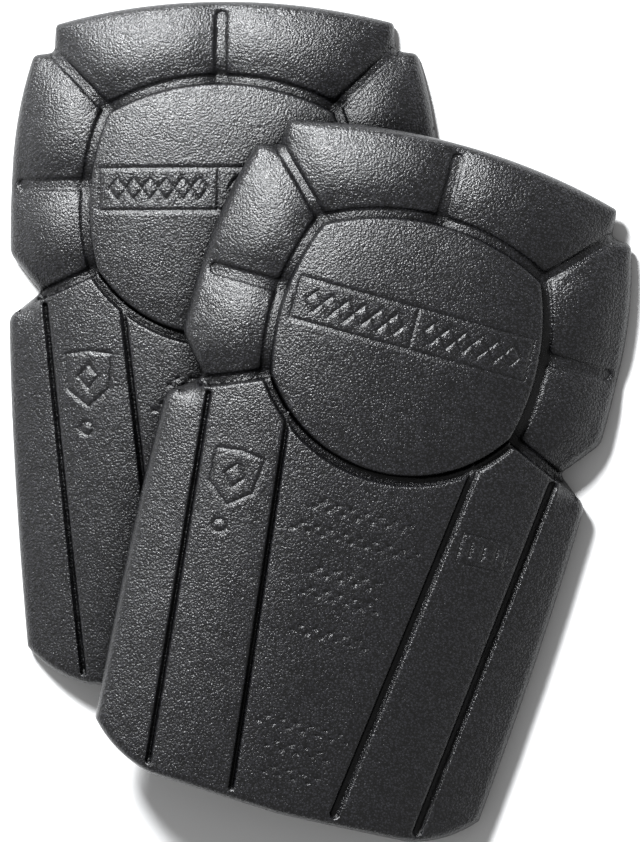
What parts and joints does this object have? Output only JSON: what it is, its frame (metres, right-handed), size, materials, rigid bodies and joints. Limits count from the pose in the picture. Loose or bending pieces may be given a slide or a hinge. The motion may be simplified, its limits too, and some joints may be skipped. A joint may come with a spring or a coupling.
{
  "type": "knee guard pair",
  "caption": "Moulded foam knee-pad inserts for work trousers, one lying on the other, each with a knee disc and grooved panels that flex round the knee and shin.",
  "frame": {"origin": "under the middle of the pair, on the surface that it lies on", "axes": "+Y points to the thigh end of the rear pad, +Z away from the knee side, +X to the right"},
  "size_m": [0.2188, 0.2926, 0.0416],
  "materials": {
    "foam": "satin"
  },
  "bodies": {
    "rear_knee_disc": {"rear_knee_disc": "foam"},
    "rear_thigh_flap": {"rear_thigh_flap": "foam", "rear_hinge_thigh_flap": "foam"},
    "rear_wing_left": {"rear_wing_left": "foam", "rear_hinge_wing_left": "foam"},
    "rear_wing_right": {"rear_wing_right": "foam", "rear_hinge_wing_right": "foam"},
    "rear_shin_center": {"rear_shin_center": "foam", "rear_hinge_shin_center": "foam"},
    "rear_shin_inner_left": {"rear_shin_inner_left": "foam", "rear_hinge_shin_inner_left": "foam"},
    "rear_shin_inner_right": {"rear_shin_inner_right": "foam", "rear_hinge_shin_inner_right": "foam"},
    "rear_shin_outer_left": {"rear_shin_outer_left": "foam", "rear_hinge_shin_outer_left": "foam"},
    "rear_shin_outer_right": {"rear_shin_outer_right": "foam", "rear_hinge_shin_outer_right": "foam"},
    "front_knee_disc": {"front_knee_disc": "foam"},
    "front_thigh_flap": {"front_thigh_flap": "foam", "front_hinge_thigh_flap": "foam"},
    "front_wing_left": {"front_wing_left": "foam", "front_hinge_wing_left": "foam"},
    "front_wing_right": {"front_wing_right": "foam", "front_hinge_wing_right": "foam"},
    "front_shin_center": {"front_shin_center": "foam", "front_hinge_shin_center": "foam"},
    "front_shin_inner_left": {"front_shin_inner_left": "foam", "front_hinge_shin_inner_left": "foam"},
    "front_shin_inner_right": {"front_shin_inner_right": "foam", "front_hinge_shin_inner_right": "foam"},
    "front_shin_outer_left": {"front_shin_outer_left": "foam", "front_hinge_shin_outer_left": "foam"},
    "front_shin_outer_right": {"front_shin_outer_right": "foam", "front_hinge_shin_outer_right": "foam"}
  },
  "joints": [
    {"name": "rear_flap_flex", "type": "hinge", "parent": "rear_knee_disc", "child": "rear_thigh_flap", "pos_m": [-0.03392, 0.11888, 0.00661], "axis": [-1, 0, 0], "range_deg": [-6, 10], "stiffness_Nm_per_rad": 1, "deforming": ["rear_hinge_thigh_flap"]},
    {"name": "rear_wing_right_flex", "type": "hinge", "parent": "rear_knee_disc", "child": "rear_wing_right", "pos_m": [0.01258, 0.08028, 0.00466], "axis": [0, 1, 0], "range_deg": [-6, 10], "stiffness_Nm_per_rad": 0.8, "deforming": ["rear_hinge_wing_right"]},
    {"name": "rear_wing_left_flex", "type": "hinge", "parent": "rear_knee_disc", "child": "rear_wing_left", "pos_m": [-0.08042, 0.08028, 0.00466], "axis": [0, -1, 0], "range_deg": [-6, 10], "stiffness_Nm_per_rad": 0.8, "deforming": ["rear_hinge_wing_left"]},
    {"name": "rear_knee_bend", "type": "hinge", "parent": "rear_knee_disc", "child": "rear_shin_center", "pos_m": [-0.03392, 0.03828, 0.0104], "axis": [1, 0, 0], "range_deg": [0, 10], "stiffness_Nm_per_rad": 1.6, "deforming": ["rear_hinge_shin_center"]},
    {"name": "rear_shin_inner_right_flex", "type": "hinge", "parent": "rear_shin_center", "child": "rear_shin_inner_right", "pos_m": [-0.00769, -0.02372, 0.00898], "axis": [0.118, 0.993, 0], "range_deg": [-4.2, 7], "stiffness_Nm_per_rad": 1.2, "deforming": ["rear_hinge_shin_inner_right"]},
    {"name": "rear_shin_inner_left_flex", "type": "hinge", "parent": "rear_shin_center", "child": "rear_shin_inner_left", "pos_m": [-0.06014, -0.02372, 0.00898], "axis": [0.118, -0.993, 0], "range_deg": [-4.2, 7], "stiffness_Nm_per_rad": 1.2, "deforming": ["rear_hinge_shin_inner_left"]},
    {"name": "rear_shin_outer_right_flex", "type": "hinge", "parent": "rear_shin_inner_right", "child": "rear_shin_outer_right", "pos_m": [0.02118, -0.02372, 0.00299], "axis": [0.1041, 0.9946, 0], "range_deg": [-4.2, 7], "stiffness_Nm_per_rad": 1.2, "deforming": ["rear_hinge_shin_outer_right"]},
    {"name": "rear_shin_outer_left_flex", "type": "hinge", "parent": "rear_shin_inner_left", "child": "rear_shin_outer_left", "pos_m": [-0.08902, -0.02372, 0.00299], "axis": [0.1041, -0.9946, 0], "range_deg": [-4.2, 7], "stiffness_Nm_per_rad": 1.2, "deforming": ["rear_hinge_shin_outer_left"]},
    {"name": "front_flap_flex", "type": "hinge", "parent": "front_knee_disc", "child": "front_thigh_flap", "pos_m": [0.04258, 0.06945, 0.02001], "axis": [-0.9494, 0.2615, 0.1736], "range_deg": [-6, 0], "stiffness_Nm_per_rad": 1, "deforming": ["front_hinge_thigh_flap"]},
    {"name": "front_wing_right_flex", "type": "hinge", "parent": "front_knee_disc", "child": "front_wing_right", "pos_m": [0.07615, 0.02017, 0.01002], "axis": [0.2656, 0.9641, 0], "range_deg": [-6, 0], "stiffness_Nm_per_rad": 0.8, "deforming": ["front_hinge_wing_right"]},
    {"name": "front_wing_left_flex", "type": "hinge", "parent": "front_knee_disc", "child": "front_wing_left", "pos_m": [-0.01215, 0.04449, 0.02617], "axis": [-0.2656, -0.9641, 0], "range_deg": [-6, 0], "stiffness_Nm_per_rad": 0.8, "deforming": ["front_hinge_wing_left"]},
    {"name": "front_knee_bend", "type": "hinge", "parent": "front_knee_disc", "child": "front_shin_center", "pos_m": [0.02181, -0.00843, 0.02375], "axis": [0.9494, -0.2615, -0.1736], "range_deg": [-6, 2.5], "stiffness_Nm_per_rad": 1.6, "deforming": ["front_hinge_shin_center"]},
    {"name": "front_shin_inner_right_flex", "type": "hinge", "parent": "front_shin_center", "child": "front_shin_inner_right", "pos_m": [0.03001, -0.075, 0.01779], "axis": [0.3758, 0.9265, -0.0205], "range_deg": [-4.2, 0], "stiffness_Nm_per_rad": 1.2, "deforming": ["front_hinge_shin_inner_right"]},
    {"name": "front_shin_inner_left_flex", "type": "hinge", "parent": "front_shin_center", "child": "front_shin_inner_left", "pos_m": [-0.01979, -0.06128, 0.0269], "axis": [-0.1516, -0.9882, -0.0205], "range_deg": [-4.2, 0], "stiffness_Nm_per_rad": 1.2, "deforming": ["front_hinge_shin_inner_left"]},
    {"name": "front_shin_outer_right_flex", "type": "hinge", "parent": "front_shin_inner_right", "child": "front_shin_outer_right", "pos_m": [0.05642, -0.08227, 0.00688], "axis": [0.363, 0.9316, -0.0181], "range_deg": [-4.2, 0], "stiffness_Nm_per_rad": 1.2, "deforming": ["front_hinge_shin_outer_right"]},
    {"name": "front_shin_outer_left_flex", "type": "hinge", "parent": "front_shin_inner_left", "child": "front_shin_outer_left", "pos_m": [-0.04821, -0.05345, 0.02601], "axis": [-0.1652, -0.9861, -0.0181], "range_deg": [-4.2, 0], "stiffness_Nm_per_rad": 1.2, "deforming": ["front_hinge_shin_outer_left"]},
    {"name": "front_lift", "type": "slide", "parent": "rear_knee_disc", "child": "front_knee_disc", "axis": [0, 0, 1], "range_m": [0, 0.1]}
  ],
  "couplings": [
    {"joint": "rear_wing_right_flex", "follows": "rear_flap_flex", "ratio": 1},
    {"joint": "rear_wing_left_flex", "follows": "rear_flap_flex", "ratio": 1},
    {"joint": "rear_shin_inner_right_flex", "follows": "rear_flap_flex", "ratio": 0.7},
    {"joint": "rear_shin_inner_left_flex", "follows": "rear_flap_flex", "ratio": 0.7},
    {"joint": "rear_shin_outer_right_flex", "follows": "rear_flap_flex", "ratio": 0.7},
    {"joint": "rear_shin_outer_left_flex", "follows": "rear_flap_flex", "ratio": 0.7},
    {"joint": "front_wing_right_flex", "follows": "front_flap_flex", "ratio": 1},
    {"joint": "front_wing_left_flex", "follows": "front_flap_flex", "ratio": 1},
    {"joint": "front_shin_inner_right_flex", "follows": "front_flap_flex", "ratio": 0.7},
    {"joint": "front_shin_inner_left_flex", "follows": "front_flap_flex", "ratio": 0.7},
    {"joint": "front_shin_outer_right_flex", "follows": "front_flap_flex", "ratio": 0.7},
    {"joint": "front_shin_outer_left_flex", "follows": "front_flap_flex", "ratio": 0.7}
  ]
}
